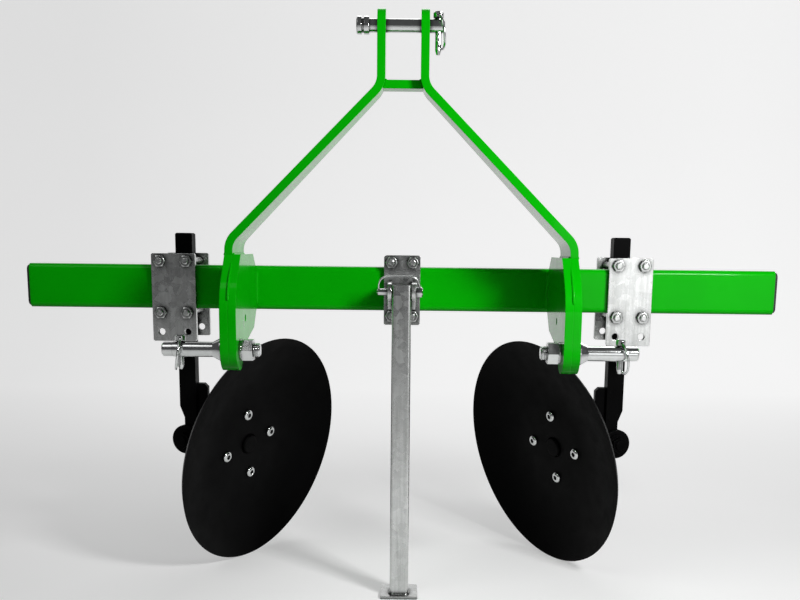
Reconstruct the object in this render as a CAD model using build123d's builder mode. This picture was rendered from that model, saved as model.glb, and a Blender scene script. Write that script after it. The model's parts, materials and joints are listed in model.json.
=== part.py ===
from build123d import *
import math
import os

os.makedirs("parts", exist_ok=True)

# Toolbar, a square tube lying across the direction of travel
BAR_SIZE = 70.0
BAR_LENGTH = 1200.0
BAR_WALL = 5.0
BAR_CORNER = 8.0
PLUG_FLANGE = 5.0
PLUG_DEPTH = 25.0
PLUG_WALL = 3.0
PLUG_GAP = 0.1

# Three-point headstock and lower hitch plates
PLATE = 12.0
HITCH_HALF_GAP = 234.0
HITCH_REACH = 197.0
HEAD_DEPTH = 100.0
HEAD_TAPER_R = 60.0
CHEEK_HALF_GAP = 25.0
HEAD_FOOT = 54.0
HEAD_BEND_R = 25.0
SLOPE_START = 16.0
MAST_HEIGHT = 460.0
TOP_EDGE = 23.0
TOP_PIN_D = 19.0
TOP_PIN_PLAY = 0.25
BRIDGE_RISE = 71.0
BRIDGE_DEPTH = 30.0
LUG_R = 30.0
NECK_DEPTH = 22.0
NECK_RISE = 5.0
FRONT_SLOPE = 50.0
FRONT_R = 80.0
TONGUE = 34.0
REAR_RISE = 22.0
PLATE_HOLE_D = 11.0
PLATE_HOLE_SET = 82.0
PLATE_HOLE_Z = 40.5

# Lower hitch pins
LOWER_PIN_D = 22.0
LOWER_PIN_DROP = 83.0
LOWER_PIN_REACH = 89.0
LEAD_D = 21.0
LEAD_L = 16.0
SHOULDER_D = 34.0
SHOULDER_LIP = 4.0
SHOULDER_TAPER = 11.0
THREAD_D = 20.0
THREAD_PLAY = 0.25
NUT_AF = 30.0
NUT_H = 16.0
SPRING_WASHER = 4.0
THREAD_TAIL = 10.0
LINCH_INSET = 26.0

# Linch pins with their spring rings
LINCH_D = 9.0
LINCH_HOLE_D = 10.0
LINCH_HEAD_D = 15.0
LINCH_HEAD_H = 10.0
LINCH_TIP = 18.0
LINCH_POINT = 6.0
RING_WIRE_D = 3.6
RING_MEAN_R = 23.0
RING_EYE_D = 5.6
RING_LEAN = 9.0
RING_TURN = 10.0

# Top link pin
TOP_PIN_HEAD_D = 25.0
TOP_PIN_HEAD_L = 18.0
TOP_PIN_GROOVE_D = 20.5
TOP_PIN_STAND_OFF = 12.0
TOP_PIN_TAIL = 21.5
TOP_LINCH_INSET = 9.0
TOP_LINCH_TIP = 30.0

# Disc clamps on the toolbar
CLAMP_X = 366.0
CLAMP_W = 70.0
CLAMP_H = 140.0
CLAMP_T = 8.0
CLAMP_TOP = 53.0
CLAMP_PLAY = 0.3
BOLT_D = 10.0
BOLT_HOLE_D = 11.0
BOLT_AF = 17.0
BOLT_HEAD_H = 6.4
BOLT_NUT_H = 8.0
BOLT_TAIL = 4.0
CLAMP_BOLT_X = 21.0
BOLT_BAR_GAP = 1.0
SPARE_HOLE_Z = 72.0

# Shank and tilt pivot
SHANK_SIZE = 28.0
SHANK_RISE = 86.0
SHANK_TAPER_TOP = 206.0
SHANK_TAPER_H = 20.0
SHANK_TAPER_IN = 7.5
PIVOT_DROP = 264.0
PIVOT_TUBE_D = 50.0
PIVOT_FRONT = 20.0
PIVOT_REAR = 55.0
GUSSET_T = 14.0
GUSSET_W = 19.0
GUSSET_LAP = 6.0
GUSSET_CORNER = 6.0
GUSSET_TOP = 168.0
ARM_ANGLE = 16.0
ARM_D = 32.0
ARM_LENGTH = 108.0
ARM_END = 24.0
ARM_COLLAR_D = 44.0
ARM_COLLAR_T = 8.0
ARM_NUT_AF = 24.0
ARM_NUT_H = 9.0
ARM_WASHER_D = 34.0
ARM_WASHER_T = 3.0
ARM_THREAD_D = 16.0
ARM_TAIL = 3.0
RUN_PLAY = 0.05
FACE_PLAY = 0.3

# Disc hub
HUB_REACH = 105.0
HUB_DROP = 10.5
HUB_D = 72.0
FLANGE_D = 150.0
FLANGE_T = 8.0
HUB_BACK_GAP = 12.0
HUB_LIP = 2.0
SPINDLE_D = 25.0
SPINDLE_THREAD_D = 16.0
BEARING_D = 52.0
BEARING_W = 15.0
SEAL_D = 40.0
AXLE_NUT_AF = 24.0
AXLE_NUT_H = 8.0
AXLE_WASHER_T = 2.0
AXLE_TAIL = 1.0
CAP_WALL = 2.0
CAP_FLANGE = 2.5
CAP_PLAY = 1.2

# Concave disc and its bolts
DISC_D = 410.0
DISC_T = 4.0
DISC_DEPTH = 35.0
DISC_FLAT_D = 156.0
DISC_EYE_GAP = 2.0
DISC_BEVEL = 8.0
DISC_ANGLE = 30.5
DISC_TILT = 11.0
DISC_PCD = 118.0
DISC_BOLT_D = 10.0
DISC_BOLT_PLAY = 0.5
LEFT_BOLT_ANGLE = 14.5
RIGHT_BOLT_ANGLE = 88.0
DISC_HEAD_D = 20.5
DISC_HEAD_H = 5.0
DISC_SOCKET_AF = 8.0
DISC_SOCKET_DEPTH = 3.5
DISC_NUT_AF = 16.0
DISC_NUT_H = 8.0

# Parking stand
STAND_PLATE_W = 58.0
STAND_PLATE_H = 110.0
STAND_PLATE_T = 8.0
STAND_BOLT_X = 17.0
STAND_BOLT_GAP = 2.5
STAND_OFF = 46.0
STAND_DROP = 2.0
LEG_SIZE = 30.0
LEG_WALL = 2.5
LEG_CORNER = 4.0
LEG_TOP = 11.0
EAR_T = 6.0
EAR_PLAY = 0.8
EAR_R = 15.0
EAR_LOW = 28.0
LOCK_PIN_D = 10.0
LOCK_HEAD_D = 16.0
LOCK_HEAD_L = 10.0
LOCK_TAIL = 17.0
WIRE_D = 3.0
WIRE_RISE = 25.0
WIRE_BEND = 15.0
WIRE_LEAN = 15.0
FOOT_SIZE = 60.0
FOOT_T = 5.0
FOOT_SHIFT = 6.0

# Derived places, counted from the middle of the toolbar
bar_half = BAR_SIZE / 2
tilt = math.radians(DISC_TILT)
toe = math.radians(DISC_ANGLE)
swing = math.radians(ARM_ANGLE)
disc_r = DISC_D / 2
shank_y = bar_half + CLAMP_PLAY + SHANK_SIZE / 2
hitch_front = -(bar_half + HITCH_REACH)
arm_x, arm_y = -math.sin(swing), math.cos(swing)
axis_x = -math.cos(tilt) * math.cos(toe)
axis_y = -math.cos(tilt) * math.sin(toe)
axis_z = -math.sin(tilt)
rim_y = shank_y + arm_y * ARM_LENGTH + axis_y * HUB_REACH
rear_y = rim_y + disc_r * math.sqrt(1 - axis_y * axis_y)
disc_turn = {-1: LEFT_BOLT_ANGLE, 1: RIGHT_BOLT_ANGLE}

# The frame: ground at zero, the middle of the outline over the origin
BAR_Y = -(hitch_front + rear_y) / 2
BAR_Z = PIVOT_DROP + HUB_DROP - axis_z * HUB_REACH + disc_r * math.cos(tilt)


def at(x, y, z):
    return (x, BAR_Y + y, BAR_Z + z)


def side_plane(x):
    return Plane(origin=at(x, 0, 0), x_dir=(0, 1, 0), z_dir=(1, 0, 0))


def front_plane(x, y, z, side):
    return Plane(origin=at(x, y, z), x_dir=(side, 0, 0), z_dir=(0, -side, 0))


def save(solid, label):
    solid.label = label
    export_step(solid, f"parts/{label}.step")


# Toolbar
with BuildPart() as toolbar:
    with BuildSketch(side_plane(-BAR_LENGTH / 2)):
        RectangleRounded(BAR_SIZE, BAR_SIZE, BAR_CORNER)
        RectangleRounded(BAR_SIZE - 2 * BAR_WALL, BAR_SIZE - 2 * BAR_WALL, BAR_CORNER - BAR_WALL,
                         mode=Mode.SUBTRACT)
    extrude(amount=BAR_LENGTH)
save(toolbar.part, "toolbar")


# Plastic plugs that close the ends of the toolbar
def make_plug(side, label):
    seat = BAR_SIZE - 2 * BAR_WALL - 2 * PLUG_GAP
    with BuildPart() as plug:
        with BuildSketch(side_plane(side * BAR_LENGTH / 2)):
            RectangleRounded(BAR_SIZE - BAR_WALL, BAR_SIZE - BAR_WALL, BAR_CORNER)
        extrude(amount=side * PLUG_FLANGE)
        rim = plug.faces().sort_by(Axis.X)[-1 if side > 0 else 0]
        fillet(rim.edges(), radius=PLUG_FLANGE / 2)
        with BuildSketch(side_plane(side * BAR_LENGTH / 2)):
            RectangleRounded(seat, seat, BAR_CORNER - BAR_WALL)
            Rectangle(seat - 2 * PLUG_WALL, seat - 2 * PLUG_WALL, mode=Mode.SUBTRACT)
        extrude(amount=-side * PLUG_DEPTH)
    save(plug.part, label)


make_plug(-1, "left_end_plug")
make_plug(1, "right_end_plug")

# Headstock: two flat bars bent at forty-five degrees, joined by a bridge
head_front = hitch_front + FRONT_SLOPE
head_rear = head_front + HEAD_DEPTH
head_in = HITCH_HALF_GAP + PLATE
top_pin_y = head_front + TOP_EDGE
top_pin_z = MAST_HEIGHT - LOWER_PIN_DROP
head_top = top_pin_z + TOP_EDGE
bend_low = HEAD_FOOT + SLOPE_START
bend_high = bend_low + head_in - CHEEK_HALF_GAP
bend_step = PLATE * math.tan(math.radians(22.5))
head_profile = [
    (head_front, HEAD_FOOT),
    (head_front, top_pin_z),
    (head_front + 2 * TOP_EDGE, top_pin_z),
    (head_front + 2 * TOP_EDGE, bend_high),
    (head_rear, bend_low),
    (head_rear, HEAD_FOOT),
]


def make_head_bar(side):
    outline = [
        (head_in, HEAD_FOOT),
        (head_in, bend_low),
        (CHEEK_HALF_GAP, bend_high),
        (CHEEK_HALF_GAP, head_top),
        (CHEEK_HALF_GAP + PLATE, head_top),
        (CHEEK_HALF_GAP + PLATE, bend_high + bend_step),
        (head_in + PLATE, bend_low + bend_step),
        (head_in + PLATE, HEAD_FOOT),
    ]
    with BuildPart() as head_bar:
        with BuildSketch(front_plane(0, head_rear, 0, side)) as bent:
            with BuildLine():
                Polyline(*outline, close=True)
            make_face()
            for corner, radius in ((1, HEAD_BEND_R), (2, HEAD_BEND_R + PLATE),
                                   (5, HEAD_BEND_R), (6, HEAD_BEND_R + PLATE)):
                point = Vector(*outline[corner])
                fillet(bent.vertices().sort_by_distance(point)[0], radius=radius)
        extrude(amount=side * HEAD_DEPTH)
        with BuildSketch(side_plane(0)) as shape:
            with BuildLine():
                Polyline(*head_profile, close=True)
            make_face()
            for corner in (3, 4):
                point = Vector(*head_profile[corner])
                fillet(shape.vertices().sort_by_distance(point)[0], radius=HEAD_TAPER_R)
            with Locations((top_pin_y, top_pin_z)):
                Circle(TOP_EDGE)
        extrude(amount=head_in + 2 * PLATE, both=True, mode=Mode.INTERSECT)
        with BuildSketch(side_plane(0)):
            with Locations((top_pin_y, top_pin_z)):
                Circle(TOP_PIN_D / 2 + TOP_PIN_PLAY)
        extrude(amount=CHEEK_HALF_GAP + 2 * PLATE, both=True, mode=Mode.SUBTRACT)
    return head_bar.part


head_left = make_head_bar(-1)
head_right = make_head_bar(1)
save(head_left, "left_headstock_bar")
save(head_right, "right_headstock_bar")

bridge_y = top_pin_y + TOP_EDGE
bridge_z = top_pin_z - TOP_PIN_D / 2 - BRIDGE_RISE
bridge_half = CHEEK_HALF_GAP + PLATE + max(0.0, bend_high - bridge_z)
with BuildPart() as bridge:
    with BuildSketch(front_plane(0, bridge_y, bridge_z, 1)):
        Rectangle(2 * bridge_half, PLATE)
    extrude(amount=BRIDGE_DEPTH)
    add(head_left, mode=Mode.SUBTRACT)
    add(head_right, mode=Mode.SUBTRACT)
bridge_middle = Vector(*at(0, bridge_y - BRIDGE_DEPTH / 2, bridge_z))
bridge_solid = bridge.part.solids().sort_by_distance(bridge_middle)[0]
save(bridge_solid, "headstock_bridge")

# Lower hitch plates, an inner plate that meets the toolbar and an outer doubler
lug_y = hitch_front + LUG_R
lug_z = -LOWER_PIN_DROP
tongue_z = bar_half - BAR_CORNER
lug_rear = [(hitch_front, lug_z), (lug_y + LUG_R, lug_z)]


def make_hitch_plate(side, inner_x, outline, label):
    with BuildPart() as hitch_plate:
        with BuildSketch(side_plane(side * inner_x)) as profile:
            with BuildLine():
                Polyline(*outline, close=True)
            make_face()
            knee = profile.vertices().sort_by_distance(Vector(hitch_front, 0))[0]
            fillet(knee, radius=FRONT_R)
            with Locations((hitch_front + PLATE_HOLE_SET, -PLATE_HOLE_Z)):
                Circle(PLATE_HOLE_D / 2, mode=Mode.SUBTRACT)
            with Locations((lug_y, lug_z)):
                Circle(LUG_R)
                Circle(THREAD_D / 2 + THREAD_PLAY, mode=Mode.SUBTRACT)
        extrude(amount=side * PLATE)
    save(hitch_plate.part, label)


plate_rear = -bar_half - TONGUE
inner_outline = [
    (-bar_half, tongue_z),
    (plate_rear, HEAD_FOOT),
    (head_front, HEAD_FOOT),
    (hitch_front, 0.0),
    *lug_rear,
    (lug_y + LUG_R + NECK_DEPTH, lug_z + NECK_RISE),
    (plate_rear, lug_z + REAR_RISE),
    (-bar_half, -tongue_z),
]
doubler_outline = [
    (head_rear, HEAD_FOOT),
    (head_front, HEAD_FOOT),
    (hitch_front, 0.0),
    *lug_rear,
    (lug_y + LUG_R + NECK_DEPTH, lug_z + NECK_RISE),
    (head_rear, lug_z + 2 * NECK_RISE),
]
for side, name in ((-1, "left"), (1, "right")):
    make_hitch_plate(side, HITCH_HALF_GAP, inner_outline, f"{name}_hitch_plate")
    make_hitch_plate(side, head_in, doubler_outline, f"{name}_hitch_doubler")

# Lower hitch pins, screwed through both plates
seat_x = HITCH_HALF_GAP + 2 * PLATE
pin_end = seat_x + LOWER_PIN_REACH
nut_x = HITCH_HALF_GAP - SPRING_WASHER - NUT_H
linch_x = pin_end - LINCH_INSET


def make_lower_pin(side, label):
    thread_r = THREAD_D / 2
    pin_r = LOWER_PIN_D / 2
    outline = [
        (nut_x - THREAD_TAIL, 0),
        (nut_x - THREAD_TAIL, thread_r - 2),
        (nut_x - THREAD_TAIL + 2, thread_r),
        (seat_x, thread_r),
        (seat_x, SHOULDER_D / 2),
        (seat_x + SHOULDER_LIP, SHOULDER_D / 2),
        (seat_x + SHOULDER_LIP + SHOULDER_TAPER, pin_r),
        (pin_end - LEAD_L, pin_r),
        (pin_end - LEAD_L, LEAD_D / 2),
        (pin_end - 2, LEAD_D / 2),
        (pin_end, LEAD_D / 2 - 2),
        (pin_end, 0),
    ]
    with BuildPart() as lower_pin:
        with BuildSketch(front_plane(0, lug_y, lug_z, side)):
            with BuildLine():
                Polyline(*outline, close=True)
            make_face()
        revolve(axis=Axis(at(0, lug_y, lug_z), (1, 0, 0)))
        with BuildSketch(Plane(origin=at(side * linch_x, lug_y, lug_z))):
            Circle(LINCH_HOLE_D / 2)
        extrude(amount=LOWER_PIN_D, both=True, mode=Mode.SUBTRACT)
    save(lower_pin.part, label)


def make_pin_nut(side, label):
    washer_r = NUT_AF / 2 + 1
    with BuildPart() as pin_nut:
        with BuildSketch(side_plane(side * nut_x)):
            with Locations((lug_y, lug_z)):
                RegularPolygon(NUT_AF / 2, 6, major_radius=False)
                Circle(THREAD_D / 2 + RUN_PLAY, mode=Mode.SUBTRACT)
        extrude(amount=side * NUT_H)
        with BuildSketch(side_plane(side * HITCH_HALF_GAP)):
            with Locations((lug_y, lug_z)):
                Circle(washer_r)
                Circle(THREAD_D / 2 + THREAD_PLAY, mode=Mode.SUBTRACT)
            with Locations((lug_y, lug_z - washer_r)):
                Rectangle(3, 2 * washer_r - THREAD_D, rotation=12, mode=Mode.SUBTRACT)
        extrude(amount=-side * SPRING_WASHER)
    save(pin_nut.part, label)


# Linch pins: a tapered shaft with an eyed head, and a spring ring through the eye
def make_linch(x, y, z, pin_r, tip, label):
    shaft_r = LINCH_D / 2
    head_r = LINCH_HEAD_D / 2
    outline = [
        (0, -pin_r - tip),
        (shaft_r - 2, -pin_r - tip),
        (shaft_r, -pin_r - tip + LINCH_POINT),
        (shaft_r, pin_r),
        (head_r, pin_r + 2),
        (head_r, pin_r + LINCH_HEAD_H - 2),
        (head_r - 2, pin_r + LINCH_HEAD_H),
        (0, pin_r + LINCH_HEAD_H),
    ]
    with BuildPart() as linch:
        with BuildSketch(Plane(origin=at(x, y, z), x_dir=(1, 0, 0), z_dir=(0, -1, 0))):
            with BuildLine():
                Polyline(*outline, close=True)
            make_face()
        revolve(axis=Axis(at(x, y, z), (0, 0, 1)))
        with BuildSketch(Plane(origin=at(x, y, z + pin_r + LINCH_HEAD_H / 2), z_dir=(0, 1, 0))):
            Circle(RING_EYE_D / 2)
        extrude(amount=LINCH_HEAD_D, both=True, mode=Mode.SUBTRACT)
    save(linch.part.rotate(Axis(at(x, y, z), (0, 0, 1)), RING_TURN), label)


def make_ring(x, y, z, pin_r, side, label):
    lean = math.radians(RING_LEAN)
    eye_z = z + pin_r + LINCH_HEAD_H / 2
    drop = (RING_MEAN_R + math.sqrt(RING_MEAN_R ** 2 - (LINCH_HEAD_D / 2) ** 2)) / 2
    centre = at(x + side * drop * math.sin(lean), y, eye_z - drop * math.cos(lean))
    normal = (math.cos(lean), 0, side * math.sin(lean))
    with BuildPart() as ring:
        with BuildSketch(Plane(origin=centre, x_dir=(0, 1, 0), z_dir=(normal[2], 0, -normal[0]))):
            with Locations((RING_MEAN_R, 0)):
                Circle(RING_WIRE_D / 2)
        revolve(axis=Axis(centre, normal))
    save(ring.part.rotate(Axis(at(x, y, z), (0, 0, 1)), RING_TURN), label)


for side, name in ((-1, "left"), (1, "right")):
    make_lower_pin(side, f"{name}_lower_pin")
    make_pin_nut(side, f"{name}_lower_pin_nut")
    make_linch(side * linch_x, lug_y, lug_z, LOWER_PIN_D / 2, LINCH_TIP, f"{name}_linch_pin")
    make_ring(side * linch_x, lug_y, lug_z, LOWER_PIN_D / 2, side, f"{name}_linch_ring")

# Top link pin across the cheeks, its grooved head on the left
cheek_x = CHEEK_HALF_GAP + PLATE
top_head_x = -cheek_x - TOP_PIN_STAND_OFF - TOP_PIN_HEAD_L
top_end_x = cheek_x + TOP_PIN_TAIL
top_linch_x = top_end_x - TOP_LINCH_INSET
collar = TOP_PIN_HEAD_L * 0.4
top_outline = [
    (top_head_x, 0),
    (top_head_x, TOP_PIN_HEAD_D / 2 - 1.5),
    (top_head_x + 1.5, TOP_PIN_HEAD_D / 2),
    (top_head_x + collar, TOP_PIN_HEAD_D / 2),
    (top_head_x + collar, TOP_PIN_GROOVE_D / 2),
    (top_head_x + TOP_PIN_HEAD_L - collar, TOP_PIN_GROOVE_D / 2),
    (top_head_x + TOP_PIN_HEAD_L - collar, TOP_PIN_HEAD_D / 2),
    (top_head_x + TOP_PIN_HEAD_L, TOP_PIN_HEAD_D / 2),
    (top_head_x + TOP_PIN_HEAD_L, TOP_PIN_D / 2),
    (top_end_x - 2, TOP_PIN_D / 2),
    (top_end_x, TOP_PIN_D / 2 - 2),
    (top_end_x, 0),
]
with BuildPart() as top_pin:
    with BuildSketch(front_plane(0, top_pin_y, top_pin_z, 1)):
        with BuildLine():
            Polyline(*top_outline, close=True)
        make_face()
    revolve(axis=Axis(at(0, top_pin_y, top_pin_z), (1, 0, 0)))
    with BuildSketch(Plane(origin=at(top_linch_x, top_pin_y, top_pin_z))):
        Circle(LINCH_HOLE_D / 2)
    extrude(amount=TOP_PIN_D, both=True, mode=Mode.SUBTRACT)
save(top_pin.part, "top_link_pin")
make_linch(top_linch_x, top_pin_y, top_pin_z, TOP_PIN_D / 2, TOP_LINCH_TIP, "top_linch_pin")
make_ring(top_linch_x, top_pin_y, top_pin_z, TOP_PIN_D / 2, 1, "top_linch_ring")

# Disc clamps: plates in front of the toolbar and behind the shank, four bolts each
front_y = -bar_half - CLAMP_PLAY
back_y = shank_y + SHANK_SIZE / 2 + CLAMP_PLAY
clamp_bolt_z = bar_half + BOLT_D / 2 + BOLT_BAR_GAP
clamp_mid_z = CLAMP_TOP - CLAMP_H / 2


def make_clamp_plate(side, y, label):
    with BuildPart() as clamp_plate:
        with BuildSketch(front_plane(side * CLAMP_X, y, 0, 1)):
            with Locations((0, clamp_mid_z)):
                Rectangle(CLAMP_W, CLAMP_H)
            with Locations((0, 0)):
                with GridLocations(2 * CLAMP_BOLT_X, 2 * clamp_bolt_z, 2, 2):
                    Circle(BOLT_HOLE_D / 2, mode=Mode.SUBTRACT)
            with Locations((-CLAMP_BOLT_X, -SPARE_HOLE_Z), (CLAMP_BOLT_X, -SPARE_HOLE_Z)):
                Circle(BOLT_HOLE_D / 2, mode=Mode.SUBTRACT)
        extrude(amount=CLAMP_T)
        chamfer(clamp_plate.edges().filter_by(Axis.Y).filter_by(GeomType.LINE), length=2.0)
    save(clamp_plate.part, label)


def make_bolts(x, head_y, tip_y, half_x, half_z, z, label):
    with BuildPart() as bolts:
        with BuildSketch(front_plane(x, head_y, z, 1)):
            with GridLocations(2 * half_x, 2 * half_z, 2, 2):
                RegularPolygon(BOLT_AF / 2, 6, major_radius=False)
        extrude(amount=-BOLT_HEAD_H)
        with BuildSketch(front_plane(x, head_y, z, 1)):
            with GridLocations(2 * half_x, 2 * half_z, 2, 2):
                Circle(BOLT_D / 2)
        extrude(amount=head_y - tip_y)
        tips = bolts.faces().group_by(Axis.Y)[0].edges()
        chamfer(tips, length=1.0)
    save(bolts.part, label)


def make_nuts(x, y, half_x, half_z, z, label):
    with BuildPart() as nuts:
        with BuildSketch(front_plane(x, y, z, 1)):
            with GridLocations(2 * half_x, 2 * half_z, 2, 2):
                Circle(BOLT_AF / 2 + 1.2)
        extrude(amount=BOLT_NUT_H)
        chamfer(nuts.faces().group_by(Axis.Y)[0].edges(), length=0.8, length2=1.5)
        with BuildSketch(front_plane(x, y, z, 1)):
            with GridLocations(2 * half_x, 2 * half_z, 2, 2):
                RegularPolygon(BOLT_AF / 2, 6, major_radius=False)
        extrude(amount=BOLT_NUT_H, mode=Mode.INTERSECT)
        with BuildSketch(front_plane(x, y, z, 1)):
            with GridLocations(2 * half_x, 2 * half_z, 2, 2):
                Circle(BOLT_D / 2 + RUN_PLAY)
        extrude(amount=BOLT_NUT_H, mode=Mode.SUBTRACT)
    save(nuts.part, label)


clamp_front_y = front_y - CLAMP_T
clamp_tip_y = clamp_front_y - BOLT_NUT_H - BOLT_TAIL
for side, name in ((-1, "left"), (1, "right")):
    make_clamp_plate(side, front_y, f"{name}_clamp_front_plate")
    make_clamp_plate(side, back_y + CLAMP_T, f"{name}_clamp_rear_plate")
    make_bolts(side * CLAMP_X, back_y + CLAMP_T, clamp_tip_y, CLAMP_BOLT_X, clamp_bolt_z, 0,
               f"{name}_clamp_bolts")
    make_nuts(side * CLAMP_X, clamp_front_y, CLAMP_BOLT_X, clamp_bolt_z, 0, f"{name}_clamp_nuts")


# Tilt pivot: a tube square to the shank, turned a little inwards
def arm_plane(side, s):
    centre = at(side * (CLAMP_X + arm_x * s), shank_y + arm_y * s, -PIVOT_DROP)
    return Plane(origin=centre, x_dir=(0, 0, 1), z_dir=(side * arm_x, arm_y, 0))


def hub_plane(side, w):
    centre = at(side * (CLAMP_X + arm_x * ARM_LENGTH + axis_x * w),
                shank_y + arm_y * ARM_LENGTH + axis_y * w,
                -PIVOT_DROP - HUB_DROP + axis_z * w)
    return Plane(origin=centre, x_dir=(-side * math.sin(toe), math.cos(toe), 0),
                 z_dir=(side * axis_x, axis_y, axis_z))


def make_tube_core(side):
    with BuildPart() as tube_core:
        with BuildSketch(arm_plane(side, -PIVOT_FRONT)):
            Circle(PIVOT_TUBE_D / 2)
        extrude(amount=PIVOT_FRONT + PIVOT_REAR)
    return tube_core.part


# Shank: a square bar with a tapered lower end, coped onto the pivot tube
def make_shank(side, core):
    half = SHANK_SIZE / 2
    taper_low = -SHANK_TAPER_TOP - SHANK_TAPER_H
    outline = [
        (-half, SHANK_RISE),
        (half, SHANK_RISE),
        (half, -SHANK_TAPER_TOP),
        (half - SHANK_TAPER_IN, taper_low),
        (half - SHANK_TAPER_IN, -PIVOT_DROP),
        (-half, -PIVOT_DROP),
    ]
    with BuildPart() as shank:
        with BuildSketch(front_plane(side * CLAMP_X, shank_y, 0, side)):
            with BuildLine():
                Polyline(*outline, close=True)
            make_face()
        extrude(amount=SHANK_SIZE / 2, both=True)
        chamfer(shank.faces().sort_by(Axis.Z)[-1].edges(), length=2.0)
        add(core, mode=Mode.SUBTRACT)
    return shank.part.solids().sort_by(Axis.Z)[-1]


# Pivot bracket: the tube with a gusset up the inner side of the shank
def make_pivot_bracket(side, label):
    half = SHANK_SIZE / 2
    outline = [
        (-half, -GUSSET_TOP),
        (-half - GUSSET_W + GUSSET_CORNER, -GUSSET_TOP),
        (-half - GUSSET_W, -GUSSET_TOP - GUSSET_CORNER),
        (-half - GUSSET_W, -PIVOT_DROP + PIVOT_TUBE_D / 2 + GUSSET_LAP),
        (-half - GUSSET_LAP, -PIVOT_DROP + PIVOT_TUBE_D / 4),
        (-half, -PIVOT_DROP + PIVOT_TUBE_D / 4),
    ]
    with BuildPart() as pivot_bracket:
        with BuildSketch(arm_plane(side, -PIVOT_FRONT)):
            Circle(PIVOT_TUBE_D / 2)
        extrude(amount=PIVOT_FRONT + PIVOT_REAR)
        chamfer(pivot_bracket.edges().filter_by(GeomType.CIRCLE), length=1.5)
        with BuildSketch(front_plane(side * CLAMP_X, shank_y, 0, side)):
            with BuildLine():
                Polyline(*outline, close=True)
            make_face()
        extrude(amount=GUSSET_T / 2, both=True)
        with BuildSketch(arm_plane(side, -PIVOT_FRONT)):
            Circle(ARM_D / 2 + RUN_PLAY)
        extrude(amount=PIVOT_FRONT + PIVOT_REAR, mode=Mode.SUBTRACT)
    save(pivot_bracket.part, label)


# Tilting arm: a round bar in the pivot tube with the hub spindle set across its end
flange_back = HUB_REACH - DISC_DEPTH - DISC_T - FLANGE_T
hub_back = ARM_D / 2 + HUB_BACK_GAP
bearing_back = hub_back + HUB_LIP
bearing_front = bearing_back + 2 * BEARING_W
nut_back = bearing_front + FACE_PLAY
spindle_end = nut_back + AXLE_WASHER_T + AXLE_NUT_H + AXLE_TAIL
arm_front = PIVOT_FRONT + FACE_PLAY + ARM_WASHER_T + ARM_NUT_H + ARM_TAIL
cap_bore = AXLE_NUT_AF / 2 / math.cos(math.radians(30)) + CAP_PLAY
cap_top = spindle_end + CAP_PLAY + CAP_WALL
eye_r = cap_bore + CAP_WALL + DISC_EYE_GAP


def make_arm(side, label):
    with BuildPart() as arm:
        with BuildSketch(arm_plane(side, -arm_front)):
            Circle(ARM_THREAD_D / 2)
        extrude(amount=arm_front - PIVOT_FRONT)
        with BuildSketch(arm_plane(side, -PIVOT_FRONT)):
            Circle(ARM_D / 2)
        extrude(amount=PIVOT_FRONT + ARM_LENGTH + ARM_END)
        with BuildSketch(arm_plane(side, PIVOT_REAR + FACE_PLAY)):
            Circle(ARM_COLLAR_D / 2)
        extrude(amount=ARM_COLLAR_T)
        with BuildSketch(hub_plane(side, 0)):
            Circle(ARM_D / 2)
        extrude(amount=bearing_back - FACE_PLAY)
        with BuildSketch(hub_plane(side, 0)):
            Circle(SPINDLE_D / 2)
        extrude(amount=bearing_front)
        with BuildSketch(hub_plane(side, bearing_front)):
            Circle(SPINDLE_THREAD_D / 2)
        extrude(amount=spindle_end - bearing_front)
    save(arm.part, label)


def make_arm_nut(side, label):
    with BuildPart() as arm_nut:
        with BuildSketch(arm_plane(side, -PIVOT_FRONT - FACE_PLAY)):
            Circle(ARM_WASHER_D / 2)
        extrude(amount=-ARM_WASHER_T)
        with BuildSketch(arm_plane(side, -PIVOT_FRONT - FACE_PLAY - ARM_WASHER_T)):
            RegularPolygon(ARM_NUT_AF / 2, 6, major_radius=False)
        extrude(amount=-ARM_NUT_H)
        with BuildSketch(arm_plane(side, -arm_front)):
            Circle(ARM_THREAD_D / 2 + RUN_PLAY)
        extrude(amount=arm_front, mode=Mode.SUBTRACT)
    save(arm_nut.part, label)


def make_axle_nut(side, label):
    with BuildPart() as axle_nut:
        with BuildSketch(hub_plane(side, nut_back)):
            Circle(AXLE_NUT_AF / 2 + 3)
            Circle(SPINDLE_THREAD_D / 2 + RUN_PLAY, mode=Mode.SUBTRACT)
        extrude(amount=AXLE_WASHER_T)
        with BuildSketch(hub_plane(side, nut_back + AXLE_WASHER_T)):
            RegularPolygon(AXLE_NUT_AF / 2, 6, major_radius=False)
            Circle(SPINDLE_THREAD_D / 2 + RUN_PLAY, mode=Mode.SUBTRACT)
        extrude(amount=AXLE_NUT_H)
    save(axle_nut.part, label)


# Hub: a bored barrel with a bolting flange, a double-row bearing and a dust cap
def make_hub(side, label):
    with BuildPart() as hub:
        with BuildSketch(hub_plane(side, hub_back)):
            Circle(HUB_D / 2)
        extrude(amount=flange_back + FLANGE_T - hub_back)
        with BuildSketch(hub_plane(side, flange_back)):
            Circle(FLANGE_D / 2)
        extrude(amount=FLANGE_T)
        with BuildSketch(hub_plane(side, hub_back)):
            Circle(SEAL_D / 2)
        extrude(amount=HUB_LIP, mode=Mode.SUBTRACT)
        with BuildSketch(hub_plane(side, bearing_back)):
            Circle(BEARING_D / 2 + RUN_PLAY)
        extrude(amount=FLANGE_D, mode=Mode.SUBTRACT)
        with BuildSketch(hub_plane(side, flange_back)):
            with PolarLocations(DISC_PCD / 2, 4, start_angle=disc_turn[side]):
                Circle(DISC_BOLT_D / 2 + DISC_BOLT_PLAY)
        extrude(amount=FLANGE_T, mode=Mode.SUBTRACT)
    save(hub.part, label)


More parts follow.
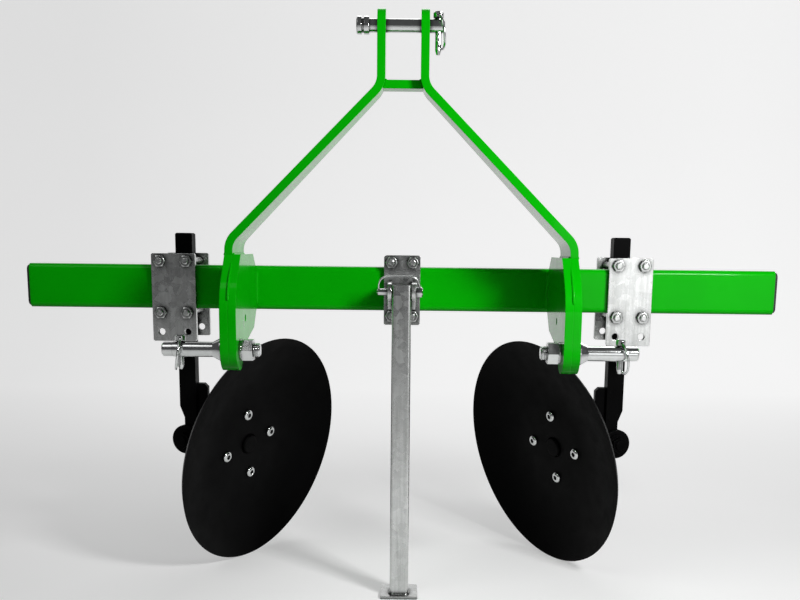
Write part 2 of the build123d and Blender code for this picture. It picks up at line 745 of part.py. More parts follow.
def make_bearing(side, label):
    with BuildPart() as bearing:
        with BuildSketch(hub_plane(side, bearing_back)):
            Circle(BEARING_D / 2)
            Circle(SPINDLE_D / 2 + RUN_PLAY, mode=Mode.SUBTRACT)
        extrude(amount=2 * BEARING_W)
    save(bearing.part, label)


def make_cap(side, label):
    front = flange_back + FLANGE_T
    with BuildPart() as cap:
        with BuildSketch(hub_plane(side, front - CAP_FLANGE)):
            Circle(BEARING_D / 2)
        extrude(amount=CAP_FLANGE)
        with BuildSketch(hub_plane(side, front)):
            Circle(cap_bore + CAP_WALL)
        extrude(amount=cap_top - front)
        tip = hub_plane(side, cap_top).origin
        fillet(cap.faces().sort_by_distance(tip)[0].edges(), radius=1.5 * CAP_WALL)
        with BuildSketch(hub_plane(side, front - CAP_FLANGE)):
            Circle(cap_bore)
        extrude(amount=cap_top - CAP_WALL - front + CAP_FLANGE, mode=Mode.SUBTRACT)
    save(cap.part, label)


# Disc: flat centre, dished out to a bevelled rim
def make_disc(side, label):
    flat_r = DISC_FLAT_D / 2
    reach = disc_r - flat_r
    dish_r = (reach ** 2 + DISC_DEPTH ** 2) / (2 * DISC_DEPTH)
    bevel_r = disc_r - DISC_BEVEL
    bevel_w = dish_r - math.sqrt((dish_r + DISC_T) ** 2 - (bevel_r - flat_r) ** 2)
    origin = hub_plane(side, HUB_REACH - DISC_DEPTH)
    with BuildPart() as disc:
        with BuildSketch(Plane(origin=origin.origin, x_dir=origin.x_dir, z_dir=-origin.y_dir)):
            with BuildLine():
                Polyline((eye_r, 0), (flat_r, 0))
                TangentArc((flat_r, 0), (disc_r, DISC_DEPTH), tangent=(1, 0))
                Polyline((disc_r, DISC_DEPTH), (bevel_r, bevel_w))
                TangentArc((flat_r, -DISC_T), (bevel_r, bevel_w), tangent=(1, 0))
                Polyline((flat_r, -DISC_T), (eye_r, -DISC_T), (eye_r, 0))
            make_face()
        revolve(axis=Axis(origin.origin, origin.z_dir))
        with BuildSketch(hub_plane(side, flange_back + FLANGE_T)):
            with PolarLocations(DISC_PCD / 2, 4, start_angle=disc_turn[side]):
                Circle(DISC_BOLT_D / 2 + DISC_BOLT_PLAY)
        extrude(amount=DISC_T, mode=Mode.SUBTRACT)
    save(disc.part, label)


def make_disc_bolts(side, label):
    face = flange_back + FLANGE_T + DISC_T
    with BuildPart() as disc_bolts:
        with BuildSketch(hub_plane(side, face)):
            with PolarLocations(DISC_PCD / 2, 4, start_angle=disc_turn[side]):
                Circle(DISC_HEAD_D / 2)
        extrude(amount=DISC_HEAD_H)
        near = hub_plane(side, face + DISC_HEAD_H)
        crown = disc_bolts.faces().filter_by(Plane(near.origin, z_dir=near.z_dir)).group_by(
            lambda f: round((f.center() - near.origin).dot(near.z_dir), 3))[-1]
        fillet(crown.edges(), radius=DISC_HEAD_H - 1.0)
        with BuildSketch(hub_plane(side, face)):
            with PolarLocations(DISC_PCD / 2, 4, start_angle=disc_turn[side]):
                Circle(DISC_BOLT_D / 2)
        extrude(amount=-(face - flange_back + DISC_NUT_H + 3))
        with BuildSketch(near):
            with PolarLocations(DISC_PCD / 2, 4, start_angle=disc_turn[side]):
                RegularPolygon(DISC_SOCKET_AF / 2, 6, major_radius=False)
        extrude(amount=-DISC_SOCKET_DEPTH, mode=Mode.SUBTRACT)
    save(disc_bolts.part, label)


def make_disc_nuts(side, label):
    with BuildPart() as disc_nuts:
        with BuildSketch(hub_plane(side, flange_back)):
            with PolarLocations(DISC_PCD / 2, 4, start_angle=disc_turn[side]):
                RegularPolygon(DISC_NUT_AF / 2, 6, major_radius=False)
                Circle(DISC_BOLT_D / 2 + RUN_PLAY, mode=Mode.SUBTRACT)
        extrude(amount=-DISC_NUT_H)
    save(disc_nuts.part, label)


for side, name in ((-1, "left"), (1, "right")):
    core = make_tube_core(side)
    make_pivot_bracket(side, f"{name}_pivot_bracket")
    save(make_shank(side, core), f"{name}_shank")
    make_arm(side, f"{name}_disc_arm")
    make_arm_nut(side, f"{name}_tilt_nut")
    make_axle_nut(side, f"{name}_axle_nut")
    make_hub(side, f"{name}_hub")
    make_bearing(side, f"{name}_hub_bearing")
    make_cap(side, f"{name}_dust_cap")
    make_disc(side, f"{name}_disc")
    make_disc_bolts(side, f"{name}_disc_bolts")
    make_disc_nuts(side, f"{name}_disc_nuts")

# Parking stand: bracket bolted round the toolbar, leg hung on a lock pin
stand_y = -bar_half - STAND_PLATE_T - STAND_OFF
stand_z = -STAND_DROP
stand_bolt_z = bar_half + BOLT_D / 2 + STAND_BOLT_GAP
ear_x = LEG_SIZE / 2 + EAR_PLAY
ear_outline = [
    (-bar_half - STAND_PLATE_T, stand_z + EAR_R),
    (stand_y, stand_z + EAR_R),
    (stand_y - EAR_R, stand_z),
    (stand_y, stand_z - EAR_R),
    (stand_y + EAR_R, stand_z - EAR_LOW),
    (-bar_half - STAND_PLATE_T, stand_z - EAR_LOW),
]


def drill_stand_plate():
    with GridLocations(2 * STAND_BOLT_X, 2 * stand_bolt_z, 2, 2):
        Circle(BOLT_HOLE_D / 2, mode=Mode.SUBTRACT)


with BuildPart() as stand_bracket:
    with BuildSketch(front_plane(0, -bar_half, 0, 1)):
        with Locations((0, stand_z)):
            Rectangle(STAND_PLATE_W, STAND_PLATE_H)
        drill_stand_plate()
    extrude(amount=STAND_PLATE_T)
    chamfer(stand_bracket.edges().filter_by(Axis.Y).filter_by(GeomType.LINE), length=2.0)
    for side in (-1, 1):
        with BuildSketch(side_plane(side * ear_x)):
            with BuildLine():
                Polyline(*ear_outline, close=True)
            make_face()
            with Locations((stand_y, stand_z)):
                Circle(EAR_R)
                Circle(LOCK_PIN_D / 2 + RUN_PLAY, mode=Mode.SUBTRACT)
        extrude(amount=side * EAR_T)
save(stand_bracket.part, "stand_bracket")

with BuildPart() as stand_back_plate:
    with BuildSketch(front_plane(0, bar_half + STAND_PLATE_T, 0, 1)):
        with Locations((0, stand_z)):
            Rectangle(STAND_PLATE_W, STAND_PLATE_H)
        drill_stand_plate()
    extrude(amount=STAND_PLATE_T)
    chamfer(stand_back_plate.edges().filter_by(Axis.Y).filter_by(GeomType.LINE), length=2.0)
save(stand_back_plate.part, "stand_back_plate")

plate_front = -bar_half - STAND_PLATE_T
make_bolts(0, bar_half + STAND_PLATE_T, plate_front - BOLT_NUT_H - BOLT_TAIL,
           STAND_BOLT_X, stand_bolt_z, 0, "stand_bolts")
make_nuts(0, plate_front, STAND_BOLT_X, stand_bolt_z, 0, "stand_nuts")

leg_bottom = -BAR_Z + FOOT_T
with BuildPart() as stand_leg:
    with BuildSketch(Plane(origin=at(0, stand_y, leg_bottom))):
        RectangleRounded(LEG_SIZE, LEG_SIZE, LEG_CORNER)
        RectangleRounded(LEG_SIZE - 2 * LEG_WALL, LEG_SIZE - 2 * LEG_WALL, LEG_CORNER - LEG_WALL,
                         mode=Mode.SUBTRACT)
    extrude(amount=stand_z + LEG_TOP - leg_bottom)
    with BuildSketch(side_plane(0)):
        with Locations((stand_y, stand_z)):
            Circle(LOCK_PIN_D / 2 + RUN_PLAY)
    extrude(amount=LEG_SIZE, both=True, mode=Mode.SUBTRACT)
save(stand_leg.part, "stand_leg")

with BuildPart() as stand_foot:
    with BuildSketch(Plane(origin=at(0, stand_y + FOOT_SHIFT, -BAR_Z))):
        Rectangle(FOOT_SIZE, FOOT_SIZE)
    extrude(amount=FOOT_T)
    chamfer(stand_foot.edges().filter_by(Axis.Z), length=2.0)
save(stand_foot.part, "stand_foot")

lock_tip = -ear_x - EAR_T - LOCK_TAIL
lock_head = ear_x + EAR_T + 1.0
with BuildPart() as lock_pin:
    with BuildSketch(side_plane(lock_tip)):
        with Locations((stand_y, stand_z)):
            Circle(LOCK_PIN_D / 2)
    extrude(amount=lock_head - lock_tip)
    chamfer(lock_pin.faces().sort_by(Axis.X)[0].edges(), length=2.0)
    with BuildSketch(side_plane(lock_head)):
        with Locations((stand_y, stand_z)):
            Circle(LOCK_HEAD_D / 2)
    extrude(amount=LOCK_HEAD_L)
    chamfer(lock_pin.faces().sort_by(Axis.X)[-1].edges(), length=1.5)
save(lock_pin.part, "stand_lock_pin")

wire_lean = math.radians(WIRE_LEAN)
wire_plane = Plane(origin=at(0, stand_y, stand_z), x_dir=(1, 0, 0),
                   z_dir=(0, -math.cos(wire_lean), -math.sin(wire_lean)))
wire_left = lock_tip + WIRE_D
wire_right = lock_head + LOCK_HEAD_L / 2
wire_path = [
    (wire_right, LOCK_HEAD_D / 2 + FACE_PLAY),
    (wire_right, WIRE_RISE),
    (wire_left, WIRE_RISE),
    (wire_left, LOCK_PIN_D / 2 + FACE_PLAY),
]
with BuildPart() as lock_wire:
    with BuildLine(wire_plane) as loop:
        FilletPolyline(*wire_path, radius=WIRE_BEND)
    with BuildSketch(Plane(origin=loop.line @ 0, z_dir=loop.line % 0)):
        Circle(WIRE_D / 2)
    sweep()
save(lock_wire.part, "stand_lock_wire")
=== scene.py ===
import json
import math

import bpy
from mathutils import Matrix, Vector


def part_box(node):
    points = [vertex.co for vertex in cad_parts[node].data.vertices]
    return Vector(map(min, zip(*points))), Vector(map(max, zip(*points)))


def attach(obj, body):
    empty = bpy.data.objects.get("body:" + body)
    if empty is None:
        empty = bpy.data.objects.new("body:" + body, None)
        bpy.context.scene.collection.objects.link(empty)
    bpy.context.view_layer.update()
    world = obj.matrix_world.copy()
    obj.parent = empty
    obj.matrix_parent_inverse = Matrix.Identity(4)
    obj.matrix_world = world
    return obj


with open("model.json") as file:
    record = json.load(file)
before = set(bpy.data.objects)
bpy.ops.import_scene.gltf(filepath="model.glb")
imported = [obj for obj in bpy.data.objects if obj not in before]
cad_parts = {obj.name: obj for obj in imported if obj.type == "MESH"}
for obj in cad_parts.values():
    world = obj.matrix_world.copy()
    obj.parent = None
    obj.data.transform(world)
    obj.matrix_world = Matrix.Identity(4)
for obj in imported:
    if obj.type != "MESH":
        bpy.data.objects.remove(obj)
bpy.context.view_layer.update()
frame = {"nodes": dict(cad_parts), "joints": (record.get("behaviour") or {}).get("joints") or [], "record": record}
nodes = frame["nodes"]
scene = bpy.context.scene


# ---------------------------------------------------------------- materials
class Shader:
    """A Principled material and short calls for the nodes that feed it."""

    def __init__(self, name, **values):
        self.material = bpy.data.materials.new(name)
        self.material.use_nodes = True
        self.tree = self.material.node_tree
        self.bsdf = self.tree.nodes["Principled BSDF"]
        for socket, value in values.items():
            self.bsdf.inputs[socket.replace("_", " ")].default_value = value
        self.coords = self.node("ShaderNodeTexCoord").outputs["Object"]
        self.normal = None

    def node(self, kind, **inputs):
        made = self.tree.nodes.new(kind)
        for socket, value in inputs.items():
            self.feed(made.inputs[socket.replace("_", " ")], value)
        return made

    def feed(self, socket, value):
        if isinstance(value, bpy.types.NodeSocket):
            self.tree.links.new(value, socket)
        else:
            socket.default_value = value

    def stretch(self, scale):
        mapping = self.node("ShaderNodeMapping", Vector=self.coords)
        mapping.inputs["Scale"].default_value = scale
        return mapping.outputs["Vector"]

    def noise(self, scale, detail=3.0, rough=0.55, vector=None):
        made = self.node("ShaderNodeTexNoise", Vector=vector or self.coords)
        made.inputs["Scale"].default_value = scale
        made.inputs["Detail"].default_value = detail
        made.inputs["Roughness"].default_value = rough
        return made.outputs["Fac"]

    def spread(self, value, low, high, start=0.3, end=0.7):
        made = self.node("ShaderNodeMapRange", Value=value)
        made.inputs["From Min"].default_value = start
        made.inputs["From Max"].default_value = end
        made.inputs["To Min"].default_value = low
        made.inputs["To Max"].default_value = high
        return made.outputs["Result"]

    def math(self, operation, first, second):
        made = self.tree.nodes.new("ShaderNodeMath")
        made.operation = operation
        self.feed(made.inputs[0], first)
        self.feed(made.inputs[1], second)
        return made.outputs[0]

    def mix(self, factor, first, second):
        made = self.tree.nodes.new("ShaderNodeMix")
        made.data_type = "RGBA"
        self.feed(made.inputs["Factor"], factor)
        self.feed(made.inputs[6], first)
        self.feed(made.inputs[7], second)
        return made.outputs[2]

    def soften(self, radius):
        made = self.tree.nodes.new("ShaderNodeBevel")
        made.samples = 4
        made.inputs["Radius"].default_value = radius
        self.normal = made.outputs["Normal"]

    def edges(self, start=0.02, end=0.16):
        """How far the softened normal has turned: nothing on flats, one along edges."""
        flat = self.node("ShaderNodeNewGeometry").outputs["Normal"]
        dot = self.tree.nodes.new("ShaderNodeVectorMath")
        dot.operation = "DOT_PRODUCT"
        self.tree.links.new(flat, dot.inputs[0])
        self.tree.links.new(self.normal, dot.inputs[1])
        return self.spread(dot.outputs["Value"], 0.0, 1.0, 1.0 - start, 1.0 - end)

    def crevice_shade(self, distance, low=0.45, high=0.92):
        """One in tight corners and nothing on open faces: the mask for painted shade around nuts, bases and
        joints.
        """
        made = self.tree.nodes.new("ShaderNodeAmbientOcclusion")
        made.samples = 6
        made.inputs["Distance"].default_value = distance
        return self.spread(made.outputs["AO"], 1.0, 0.0, low, high)

    def bump(self, height, strength, distance):
        made = self.node("ShaderNodeBump", Height=height)
        made.inputs["Strength"].default_value = strength
        made.inputs["Distance"].default_value = distance
        if self.normal is not None:
            self.tree.links.new(self.normal, made.inputs["Normal"])
        self.normal = made.outputs["Normal"]

    def finish(self, **links):
        if self.normal is not None:
            self.tree.links.new(self.normal, self.bsdf.inputs["Normal"])
        for socket, value in links.items():
            self.tree.links.new(value, self.bsdf.inputs[socket.replace("_", " ")])
        return self.material


def green_paint():
    s = Shader("green_paint", Specular_IOR_Level=0.02, Coat_Weight=1.0, Coat_IOR=1.15,
               Coat_Roughness=0.05)
    s.soften(0.0016)
    edge_highlight = s.edges()
    deep = (0.001, 0.330, 0.001, 1.0)
    full = (0.001, 0.375, 0.001, 1.0)
    # The colour below is a painted highlight for the edges.
    highlight_green = (0.012, 0.420, 0.010, 1.0)
    cloud = s.spread(s.noise(7.0, 4.0), 0.0, 1.0)
    colour = s.mix(cloud, deep, full)
    # Painted highlight: the green turns lighter along edges, where light catches them.
    colour = s.mix(s.spread(edge_highlight, 0.0, 0.5, 0.0, 1.0), colour, highlight_green)
    peel = s.noise(330.0, 2.0)
    s.bump(peel, 0.10, 0.0004)
    rough = s.spread(s.noise(24.0, 5.0), 0.26, 0.38)
    return s.finish(Base_Color=colour, Roughness=rough)


def black_paint():
    s = Shader("black_paint", Specular_IOR_Level=0.03)
    s.soften(0.0012)
    edge_highlight = s.edges()
    cloud = s.spread(s.noise(14.0, 5.0), 0.0, 1.0)
    colour = s.mix(cloud, (0.0010, 0.0010, 0.0011, 1.0), (0.0020, 0.0020, 0.0021, 1.0))
    # Painted highlight: the black turns grey along edges, where light catches them.
    colour = s.mix(s.spread(edge_highlight, 0.0, 0.6, 0.0, 1.0), colour, (0.010, 0.010, 0.010, 1.0))
    s.bump(s.noise(420.0, 3.0), 0.10, 0.0003)
    rough = s.spread(s.noise(36.0, 5.0), 0.36, 0.52)
    return s.finish(Base_Color=colour, Roughness=rough)


def galvanised():
    s = Shader("galvanised", Metallic=1.0)
    s.soften(0.0012)
    cells = s.node("ShaderNodeTexVoronoi", Vector=s.coords)
    cells.inputs["Scale"].default_value = 105.0
    split = s.node("ShaderNodeSeparateColor", Color=cells.outputs["Color"])
    spangle = split.outputs[0]
    bloom = s.spread(s.noise(30.0, 6.0, 0.65), 0.0, 1.0, 0.38, 0.72)
    colour = s.mix(spangle, (0.56, 0.57, 0.565, 1.0), (0.68, 0.69, 0.685, 1.0))
    colour = s.mix(bloom, colour, (0.60, 0.61, 0.60, 1.0))
    streak = s.noise(1.0, 3.0, 0.6, s.stretch((170.0, 170.0, 9.0)))
    colour = s.mix(s.spread(streak, 0.0, 0.40, 0.40, 0.70), colour, (0.30, 0.315, 0.30, 1.0))
    # Painted shade: the zinc goes near black in tight corners, around nuts and bases.
    shade = s.spread(s.crevice_shade(0.010), 0.0, 0.95, 0.0, 0.85)
    colour = s.mix(shade, colour, (0.030, 0.032, 0.030, 1.0))
    s.bump(s.noise(160.0, 4.0), 0.12, 0.0004)
    rough = s.spread(split.outputs[1], 0.20, 0.31, 0.0, 1.0)
    return s.finish(Base_Color=colour, Roughness=rough)


def bright_zinc():
    s = Shader("bright_zinc", Metallic=1.0)
    s.soften(0.0006)
    turned = s.noise(1.0, 2.0, 0.5, s.stretch((900.0, 40.0, 40.0)))
    cloud = s.spread(s.noise(60.0, 4.0), 0.0, 1.0)
    colour = s.mix(cloud, (0.58, 0.595, 0.59, 1.0), (0.68, 0.695, 0.69, 1.0))
    # Painted shade: the zinc goes near black in tight corners, around nuts and pin ends.
    shade = s.spread(s.crevice_shade(0.008), 0.0, 0.92, 0.0, 0.85)
    colour = s.mix(shade, colour, (0.04, 0.042, 0.04, 1.0))
    s.bump(turned, 0.10, 0.0002)
    rough = s.spread(s.noise(90.0, 3.0), 0.11, 0.19)
    return s.finish(Base_Color=colour, Roughness=rough)


def bearing_steel():
    s = Shader("bearing_steel", Metallic=1.0)
    ground = s.noise(1.0, 2.0, 0.5, s.stretch((700.0, 700.0, 60.0)))
    cloud = s.spread(s.noise(80.0), 0.0, 1.0)
    colour = s.mix(cloud, (0.52, 0.52, 0.53, 1.0), (0.60, 0.60, 0.61, 1.0))
    s.bump(ground, 0.06, 0.0002)
    return s.finish(Base_Color=colour, Roughness=s.spread(s.noise(120.0), 0.16, 0.26))


def black_plastic():
    s = Shader("black_plastic", Specular_IOR_Level=0.4)
    s.soften(0.0008)
    cloud = s.spread(s.noise(40.0), 0.0, 1.0)
    colour = s.mix(cloud, (0.010, 0.010, 0.011, 1.0), (0.018, 0.018, 0.019, 1.0))
    s.bump(s.noise(900.0, 2.0), 0.25, 0.0002)
    return s.finish(Base_Color=colour, Roughness=s.spread(s.noise(50.0), 0.50, 0.64))


MATERIALS = {
    "green_paint": green_paint(),
    "black_paint": black_paint(),
    "galvanised": galvanised(),
    "bright_zinc": bright_zinc(),
    "bearing_steel": bearing_steel(),
    "black_plastic": black_plastic(),
}

for part in frame["record"]["subparts"]:
    slots = nodes[part["node"]].data.materials
    slots.clear()
    slots.append(MATERIALS[part["material_slot"]])


# ---------------------------------------------------------------- small pieces
def add_piece(name, verts, faces, body, slot):
    mesh = bpy.data.meshes.new(name)
    mesh.from_pydata(verts, [], faces)
    mesh.update()
    for face in mesh.polygons:
        face.use_smooth = True
    mesh.materials.append(MATERIALS[slot])
    piece = bpy.data.objects.new(name, mesh)
    scene.collection.objects.link(piece)
    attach(piece, body)
    return piece


def sweep_ring(path, closed, outline):
    """Vertices and faces of a tube with the section outline(i, point, axis) at each point of a path."""
    verts, faces = [], []
    count = len(path)
    size = 0
    for i, point in enumerate(path):
        ahead = path[(i + 1) % count] if closed or i < count - 1 else point
        behind = path[i - 1] if closed or i > 0 else point
        ring = outline(i, point, (ahead - behind).normalized())
        size = len(ring)
        verts.extend(ring)
    spans = count if closed else count - 1
    for i in range(spans):
        a, b = i * size, ((i + 1) % count) * size
        for k in range(size):
            n = (k + 1) % size
            faces.append((a + k, a + n, b + n, b + k))
    if not closed:
        faces.append(tuple(reversed(range(size))))
        faces.append(tuple(range((count - 1) * size, count * size)))
    return verts, faces


MM = 0.001
BAR_LOW, BAR_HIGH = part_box("toolbar")
BAR_MIDDLE = (BAR_LOW + BAR_HIGH) / 2


def frame_point(x, y, z):
    """A place counted from the middle of the toolbar in mm, in the shared frame in metres."""
    return Vector((x, y, z)) * MM + BAR_MIDDLE


WELD_STEP, WELD_RIPPLE, WELD_SIDES = 0.0011, 0.0042, 10


def weld(name, corners, radius, body, slot, closed=False):
    """A rippled weld bead along straight runs between corners, its radius in mm."""
    points = [frame_point(*corner) for corner in corners]
    ends = points[1:] + points[:1] if closed else points[1:]
    path, travel = [], []
    length = 0.0
    for start, end in zip(points, ends):
        span = (end - start).length
        count = max(2, int(span / WELD_STEP))
        for i in range(count):
            path.append(start.lerp(end, i / count))
            travel.append(length + span * i / count)
        length += span
    if not closed:
        path.append(points[-1])
        travel.append(length)
    bead = radius * MM

    def section(i, point, axis):
        swell = 0.86 + 0.14 * abs(math.sin(math.pi * travel[i] / WELD_RIPPLE))
        if not closed:
            tail = min(travel[i], length - travel[i]) / (1.5 * bead)
            swell *= 0.45 + 0.55 * min(1.0, tail) ** 0.5
        side = axis.orthogonal().normalized()
        other = axis.cross(side)
        ring = []
        for k in range(WELD_SIDES):
            turn = 2 * math.pi * k / WELD_SIDES
            ring.append(point + bead * swell * (math.cos(turn) * side + math.sin(turn) * other))
        return ring

    verts, faces = sweep_ring(path, closed, section)
    return add_piece(name, verts, faces, body, slot)


THREAD_STEPS = 28


def thread(name, base, axis, sizes, body, slot):
    """The screw ridge on a bolt's bare end. Sizes are its length, radius and pitch in mm."""
    length, radius, pitch = sizes
    axis = Vector(axis).normalized()
    side = axis.orthogonal().normalized()
    other = axis.cross(side)
    turns = length / pitch
    count = int(turns * THREAD_STEPS)
    path, outward, height = [], [], []
    for i in range(count + 1):
        turn = 2 * math.pi * turns * i / count
        out = math.cos(turn) * side + math.sin(turn) * other
        path.append(base + MM * (radius * out + axis * length * i / count))
        outward.append(out)
        height.append(min(1.0, 6.0 * i / count + 0.1, 6.0 * (count - i) / count + 0.1))

    def section(i, point, along):
        crest = MM * 0.30 * height[i] * pitch ** 0.5
        foot = MM * 0.36 * pitch
        root = point - outward[i] * 0.0002
        return [root - axis * foot, point + outward[i] * crest - axis * foot * 0.2,
                point + outward[i] * crest + axis * foot * 0.2, root + axis * foot]

    verts, faces = sweep_ring(path, False, section)
    return add_piece(name, verts, faces, body, slot)


# Sizes in mm from the middle of the toolbar, where the beads and threads go
PLATE_IN, PLATE_OUT = 234.0, 246.0
BAR_FACE, BAR_WELD_Z = -35.0, 26.0
CHEEK_FACE, BRIDGE_FRONT, BRIDGE_REAR, BRIDGE_TOP = 25.0, -164.0, -138.0, 302.5
HEAD_FRONT, HEAD_REAR, HEAD_OUT, HEAD_FOOT = -182.0, -82.0, 258.0, 54.0
DOUBLER_LOW, DOUBLER_HIGH = -50.0, 46.0
KNEE_Y, KNEE_Z, KNEE_R = -152.0, -31.4, 80.0
SEAM_START, SEAM_STEP, SEAM_POINTS = 137.0, 4.0, 8
WELD_INSET = 4.0
PIN_Y, PIN_Z, PIN_NUT_X = -202.0, -83.0, 214.0
CLAMP_X, CLAMP_BOLT_X, CLAMP_BOLT_Z, CLAMP_NUT_Y = 366.0, 21.0, 41.0, -51.3
STAND_BOLT_X, STAND_BOLT_Z, STAND_NUT_Y = 17.0, 42.5, -51.0
LEG_Y, LEG_HALF, LEG_FLAT, LEG_FOOT_Z = -89.0, 15.0, 11.0, -490.77
EAR_FACE, EAR_LOW, EAR_HIGH, STAND_FACE = 21.8, -29.0, 12.0, -43.0
SHANK_FACE, SHANK_Y = 352.0, 49.3
GUSSET_HALF, GUSSET_HIGH, GUSSET_LOW = 7.0, -169.0, -230.0
TILT_NUT_FACE = 32.3

# Bead radii, and the length, radius and pitch of the threads in sight
BAR_BEAD, DOUBLER_BEAD, EDGE_BEAD, STAND_BEAD, SEAM_BEAD = 3.4, 3.0, 2.6, 2.4, 2.2
M10_END, M16_END, M20_END = (3.2, 5.0, 1.5), (3.0, 8.0, 2.0), (8.0, 10.0, 2.5)
FORWARD = (0, -1, 0)
FOUR_BOLTS = ((-1, -1), (1, -1), (-1, 1), (1, 1))
joint_of = {joint["name"]: joint for joint in frame["joints"]}


def headstock_welds(side, name):
    inner, outer = side * PLATE_IN, side * PLATE_OUT
    for label, x in (("in", inner), ("out", outer)):
        ends = [(x, BAR_FACE, -BAR_WELD_Z), (x, BAR_FACE, BAR_WELD_Z)]
        weld(f"{name}_bar_weld_{label}", ends, BAR_BEAD, "frame", "green_paint")
    for label, x in (("in", outer), ("out", side * HEAD_OUT)):
        ends = [(x, HEAD_FRONT + WELD_INSET, HEAD_FOOT), (x, HEAD_REAR - WELD_INSET, HEAD_FOOT)]
        weld(f"{name}_foot_weld_{label}", ends, EDGE_BEAD, "frame", "green_paint")
    ends = [(outer, HEAD_REAR, DOUBLER_LOW), (outer, HEAD_REAR, DOUBLER_HIGH)]
    weld(f"{name}_doubler_weld", ends, DOUBLER_BEAD, "frame", "green_paint")
    seam = [(outer, HEAD_FRONT, HEAD_FOOT - WELD_INSET)]
    for i in range(SEAM_POINTS):
        turn = math.radians(SEAM_START + SEAM_STEP * i)
        seam.append((outer, KNEE_Y + KNEE_R * math.cos(turn), KNEE_Z + KNEE_R * math.sin(turn)))
    weld(f"{name}_seam_weld", seam, SEAM_BEAD, "frame", "green_paint")
    x = side * CHEEK_FACE
    ends = [(x, BRIDGE_FRONT, BRIDGE_TOP), (x, BRIDGE_REAR, BRIDGE_TOP)]
    weld(f"{name}_bridge_weld", ends, EDGE_BEAD, "frame", "green_paint")


def other_welds(side, name):
    x = side * EAR_FACE
    ends = [(x, STAND_FACE, EAR_LOW), (x, STAND_FACE, EAR_HIGH)]
    weld(f"{name}_ear_weld", ends, STAND_BEAD, "frame", "galvanised")
    x = side * SHANK_FACE
    for label, y in (("front", SHANK_Y - GUSSET_HALF), ("rear", SHANK_Y + GUSSET_HALF)):
        ends = [(x, y, GUSSET_HIGH), (x, y, GUSSET_LOW)]
        weld(f"{name}_gusset_weld_{label}", ends, EDGE_BEAD, f"{name}_shank_unit", "black_paint")


def side_threads(side, name):
    base = frame_point(side * PIN_NUT_X, PIN_Y, PIN_Z)
    thread(f"{name}_pin_thread", base, (-side, 0, 0), M20_END, "frame", "bright_zinc")
    tilt = joint_of[f"{name}_disc_tilt"]
    axis = Vector(tilt["axis"])
    base = Vector(tilt["pos_m"]) - axis * TILT_NUT_FACE * MM
    thread(f"{name}_tilt_thread", base, -axis, M16_END, f"{name}_arm_unit", "black_paint")
    for i, (dx, dz) in enumerate(FOUR_BOLTS):
        base = frame_point(side * CLAMP_X + dx * CLAMP_BOLT_X, CLAMP_NUT_Y, dz * CLAMP_BOLT_Z)
        thread(f"{name}_clamp_thread_{i}", base, FORWARD, M10_END, f"{name}_clamp_unit", "galvanised")


for side, name in ((-1, "left"), (1, "right")):
    headstock_welds(side, name)
    other_welds(side, name)
    side_threads(side, name)

leg_ring = []
for sx, sy, swap in ((1, -1, False), (1, 1, True), (-1, 1, False), (-1, -1, True)):
    along_x = (sx * LEG_FLAT, LEG_Y + sy * LEG_HALF, LEG_FOOT_Z)
    along_y = (sx * LEG_HALF, LEG_Y + sy * LEG_FLAT, LEG_FOOT_Z)
    leg_ring += [along_y, along_x] if swap else [along_x, along_y]
weld("leg_weld", leg_ring, STAND_BEAD, "stand_unit", "galvanised", closed=True)
for i, (dx, dz) in enumerate(FOUR_BOLTS):
    base = frame_point(dx * STAND_BOLT_X, STAND_NUT_Y, dz * STAND_BOLT_Z)
    thread(f"stand_thread_{i}", base, FORWARD, M10_END, "frame", "galvanised")


# ---------------------------------------------------------------- stage, lights, camera
# Brightness of the paper, and the places in metres between which it changes; its rise to the right and towards the
# back is painted light
GLOW_LEFT, GLOW_RIGHT, GLOW_SIDE = 0.62, 0.78, 1.6
GLOW_NEAR, GLOW_FAR, GLOW_START, GLOW_END = 0.44, 1.0, -0.1, 2.2
GLOW_BEHIND, BEHIND_START, BEHIND_END = 0.36, -1.9, -4.5
COVE_FRONT, COVE_BEND, COVE_R, COVE_TOP, COVE_HALF = -5.0, 2.2, 1.2, 5.0, 7.0
COVE_STEPS = 24
FLOOR_GAP = 0.0002


def studio_paper():
    """Grey paper for the light that reaches the object, white where the camera or a gloss sees it."""
    s = Shader("studio_paper", Specular_IOR_Level=0.0, Roughness=0.95)
    grain = s.spread(s.noise(3.0), 0.0, 1.0)
    dull = s.mix(grain, (0.44, 0.44, 0.44, 1.0), (0.46, 0.46, 0.46, 1.0))
    white = s.mix(grain, (0.66, 0.66, 0.66, 1.0), (0.68, 0.68, 0.68, 1.0))
    ray = s.node("ShaderNodeLightPath").outputs
    seen = s.math("MAXIMUM", ray["Is Camera Ray"], ray["Is Glossy Ray"])
    place = s.node("ShaderNodeSeparateXYZ", Vector=s.coords).outputs
    # Painted light: the paper's glow is stronger to the right, where the lamps stand, and rises towards the back.
    across = s.spread(place["X"], GLOW_LEFT, GLOW_RIGHT, -GLOW_SIDE, GLOW_SIDE)
    depth = s.spread(place["Y"], GLOW_NEAR, GLOW_FAR, GLOW_START, GLOW_END)
    shown = s.math("MULTIPLY", s.math("MULTIPLY", across, depth), seen)
    rear = s.spread(place["Y"], GLOW_BEHIND, 0.0, BEHIND_END, BEHIND_START)
    total = s.math("ADD", shown, s.math("MULTIPLY", ray["Is Camera Ray"], rear))
    s.bsdf.inputs["Emission Color"].default_value = (1.0, 1.0, 1.0, 1.0)
    return s.finish(Base_Color=s.mix(seen, dull, white), Emission_Strength=total)


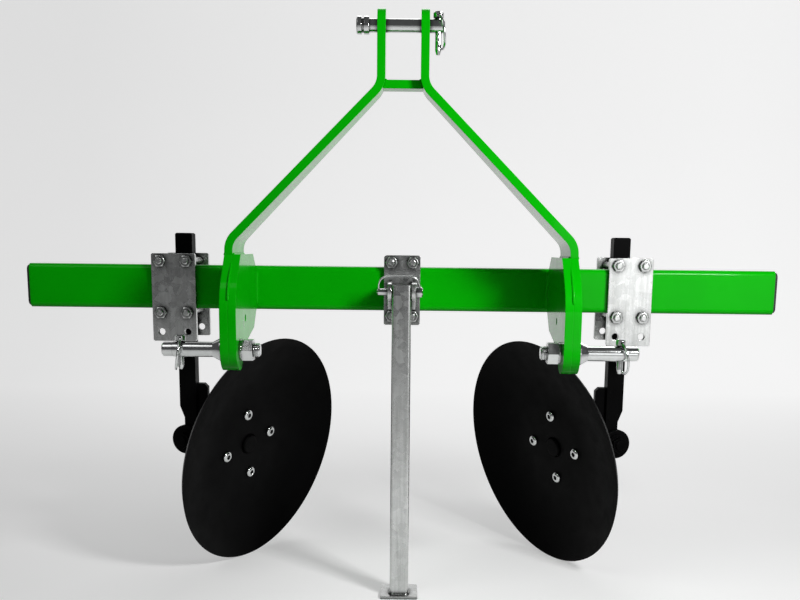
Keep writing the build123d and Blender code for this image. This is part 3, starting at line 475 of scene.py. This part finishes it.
def stage_cove():
    profile = [(COVE_FRONT, 0.0), (COVE_BEND, 0.0)]
    for i in range(1, COVE_STEPS + 1):
        turn = math.pi / 2 * i / COVE_STEPS
        profile.append((COVE_BEND + COVE_R * math.sin(turn), COVE_R - COVE_R * math.cos(turn)))
    profile.append((COVE_BEND + COVE_R, COVE_TOP))
    verts, faces = [], []
    for y, z in profile:
        verts += [(-COVE_HALF, y, z - FLOOR_GAP), (COVE_HALF, y, z - FLOOR_GAP)]
    for i in range(len(profile) - 1):
        faces.append((2 * i, 2 * i + 1, 2 * i + 3, 2 * i + 2))
    mesh = bpy.data.meshes.new("studio_cove")
    mesh.from_pydata(verts, [], faces)
    for face in mesh.polygons:
        face.use_smooth = True
    mesh.materials.append(studio_paper())
    cove = bpy.data.objects.new("studio_cove", mesh)
    scene.collection.objects.link(cove)


def area_light(name, place, target, size, power):
    data = bpy.data.lights.new(name, "AREA")
    data.shape = "RECTANGLE"
    data.size, data.size_y = size
    data.energy = power
    lamp = bpy.data.objects.new(name, data)
    lamp.location = place
    lamp.rotation_euler = (Vector(target) - Vector(place)).to_track_quat("-Z", "Y").to_euler()
    scene.collection.objects.link(lamp)


def studio_world():
    """A dim room that lights the object, seen by the camera as pale paper."""
    room = bpy.data.worlds.new("studio")
    room.use_nodes = True
    tree = room.node_tree
    dim = tree.nodes["Background"]
    dim.inputs["Color"].default_value = (0.80, 0.81, 0.82, 1.0)
    dim.inputs["Strength"].default_value = 0.10
    pale = tree.nodes.new("ShaderNodeBackground")
    pale.inputs["Color"].default_value = (0.70, 0.70, 0.70, 1.0)
    pale.inputs["Strength"].default_value = 1.0
    ray = tree.nodes.new("ShaderNodeLightPath")
    blend = tree.nodes.new("ShaderNodeMixShader")
    tree.links.new(ray.outputs["Is Camera Ray"], blend.inputs[0])
    tree.links.new(dim.outputs[0], blend.inputs[1])
    tree.links.new(pale.outputs[0], blend.inputs[2])
    tree.links.new(blend.outputs[0], tree.nodes["World Output"].inputs["Surface"])
    scene.world = room


stage_cove()
area_light("key", (0.74, -0.95, 1.02), (0.0, 0.0, 0.45), (0.26, 0.26), 15.5)
area_light("fill", (-1.2, -1.2, 2.1), (-0.2, 0.0, 0.4), (1.2, 1.2), 8.0)
area_light("top", (0.2, 1.3, 2.2), (0.1, 0.3, 0.0), (1.4, 1.0), 11.0)
area_light("card", (1.05, -2.2, 0.55), (0.3, 0.0, 0.5), (1.1, 0.7), 4.3)
studio_world()

camera_data = bpy.data.cameras.new("photo_camera")
camera_data.sensor_fit = "HORIZONTAL"
camera_data.sensor_width = 36.0
camera_data.lens = 44.59
camera_data.shift_x = -0.01275
camera_data.shift_y = 0.15
camera = bpy.data.objects.new("photo_camera", camera_data)
CAMERA_PLACE, CAMERA_DOWN, CAMERA_ROLL = (0.0155, -1.6671, 0.56697), 10.05, 0.65
pitch, roll = math.radians(90.0 - CAMERA_DOWN), math.radians(CAMERA_ROLL)
camera.matrix_world = (Matrix.Translation(CAMERA_PLACE) @ Matrix.Rotation(pitch, 4, "X")
                       @ Matrix.Rotation(roll, 4, "Z"))
scene.collection.objects.link(camera)
scene.camera = camera
scene.view_settings.view_transform = "Standard"
